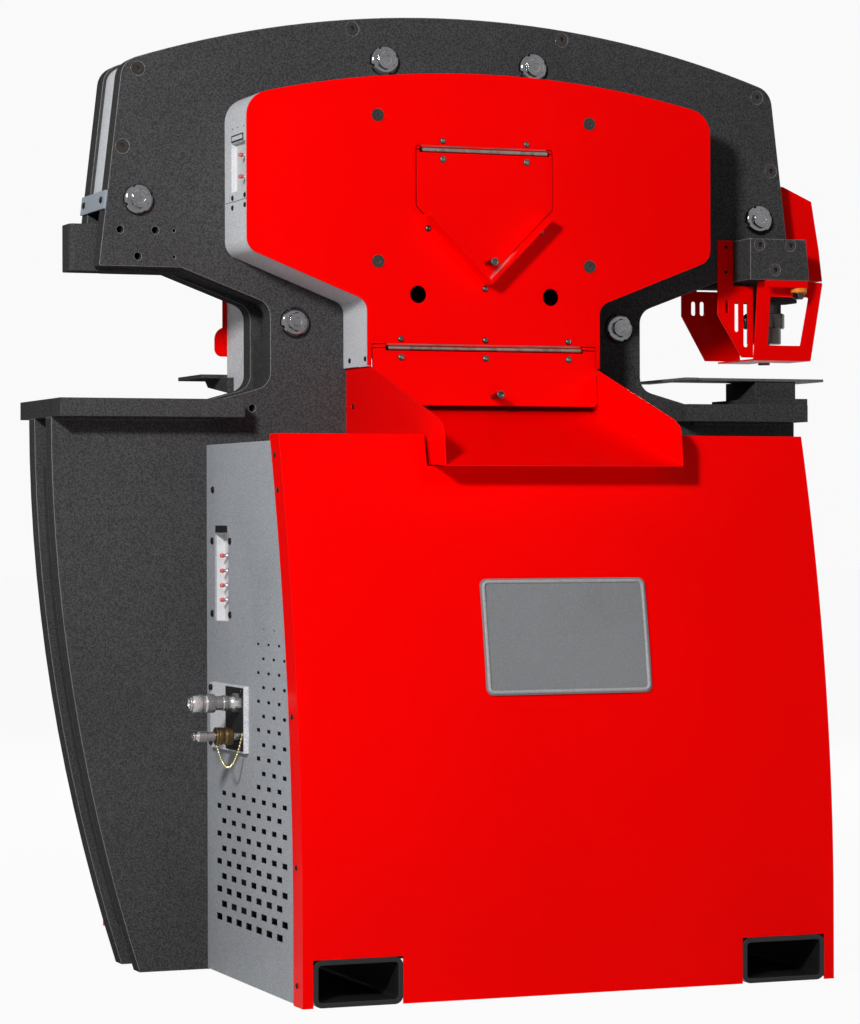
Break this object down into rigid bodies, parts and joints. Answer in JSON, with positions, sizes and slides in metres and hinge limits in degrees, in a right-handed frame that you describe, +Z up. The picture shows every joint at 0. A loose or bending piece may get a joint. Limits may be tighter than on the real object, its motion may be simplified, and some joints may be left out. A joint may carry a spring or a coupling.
{
  "type": "ironworker machine",
  "caption": "Arched hydraulic ironworker with an open tool station, a punch station, angle and flat bar shears, drop doors, a chute and red bowed cabinets.",
  "frame": {"origin": "on the floor under the middle of the bounding box, in the gap between the frame plates", "axes": "+Z up, +X along the frame from the open left station to the punch station, -Y towards the drop side with the chute"},
  "size_m": [1.496, 1.184, 1.671],
  "materials": {
    "charcoal_paint": "textured powder coat",
    "grey_paint": "satin powder coat",
    "red_paint": "gloss powder coat",
    "black_steel": "black oxide",
    "chrome": "polished",
    "bright_steel": "ground",
    "bronze": "machined",
    "brass": "polished",
    "cap_brown": "passivated",
    "white_tray": "matt",
    "urethane": "satin",
    "green_button": "gloss",
    "red_button": "gloss"
  },
  "bodies": {
    "frame": {"front_plate": "charcoal_paint", "rear_plate": "charcoal_paint", "throat_fillers": "charcoal_paint", "foot_bars": "charcoal_paint", "arch_strip": "grey_paint", "left_table": "charcoal_paint", "right_table": "charcoal_paint", "fork_tubes": "black_steel", "socket_screws": "black_steel", "panel_screws": "black_steel", "guide_adjusters": "chrome", "guide_pads": "bronze", "front_cover_box": "grey_paint", "front_cover_plate": "red_paint", "drop_lip": "red_paint", "hinge_leaves": "bright_steel", "hinge_pins": "bright_steel", "chute": "red_paint", "grease_trays": "white_tray", "grease_fittings": "red_button", "front_panel": "red_paint", "side_panels": "grey_paint", "cabinet_tops": "grey_paint", "coupler_manifold": "chrome", "female_coupler": "bright_steel", "male_coupler": "bright_steel", "coupler_cap": "cap_brown", "cap_chain": "brass", "badge_plate": "grey_paint", "rear_cover_box": "grey_paint", "rear_cover_plate": "red_paint", "finger_guard": "red_paint", "rear_panel": "red_paint", "rear_side_panels": "grey_paint", "feed_table": "charcoal_paint", "control_box": "grey_paint", "stripper_blocks": "charcoal_paint", "guard_plates": "red_paint", "end_guard": "red_paint", "die_base": "charcoal_paint", "die_holder": "charcoal_paint", "die": "bright_steel", "gauge_table": "charcoal_paint", "fixed_blades": "bright_steel", "cylinder_barrels": "charcoal_paint", "oil_reservoir": "charcoal_paint", "pump_motor": "charcoal_paint", "guard_bumpers": "urethane"},
    "beam": {"ram_beam": "charcoal_paint", "cylinder_rods": "bright_steel", "punch_holder": "charcoal_paint", "coupling_nut": "bright_steel", "punch": "bright_steel", "moving_blades": "bright_steel"},
    "angle_drop_door": {"angle_door": "red_paint"},
    "flat_drop_door": {"flat_door": "red_paint"},
    "punch_guard": {"window_guard": "red_paint"},
    "start": {"start_button": "green_button"},
    "stop": {"stop_button": "red_button"},
    "sleeve": {"coupler_sleeve": "bright_steel"}
  },
  "joints": [
    {"name": "beam_stroke", "type": "slide", "parent": "frame", "child": "beam", "axis": [0, 0, -1], "range_m": [0, 0.032]},
    {"name": "angle_door_hinge", "type": "hinge", "parent": "frame", "child": "angle_drop_door", "pos_m": [0, -0.2, 1.421], "axis": [-1, 0, 0], "range_deg": [0, 100]},
    {"name": "flat_door_hinge", "type": "hinge", "parent": "frame", "child": "flat_drop_door", "pos_m": [0, -0.2, 1.075], "axis": [-1, 0, 0], "range_deg": [0, 100]},
    {"name": "guard_swing", "type": "hinge", "parent": "frame", "child": "punch_guard", "pos_m": [0.649, -0.134, 1.2], "axis": [0, 0, 1], "range_deg": [0, 95]},
    {"name": "start_press", "type": "slide", "parent": "frame", "child": "start", "axis": [0, -1, 0], "range_m": [0, 0.004], "stiffness_N_per_m": 600},
    {"name": "stop_press", "type": "slide", "parent": "frame", "child": "stop", "axis": [0, -1, 0], "range_m": [0, 0.004], "stiffness_N_per_m": 900},
    {"name": "sleeve_slide", "type": "slide", "parent": "frame", "child": "sleeve", "axis": [1, 0, 0], "range_m": [0, 0.006], "stiffness_N_per_m": 800}
  ]
}
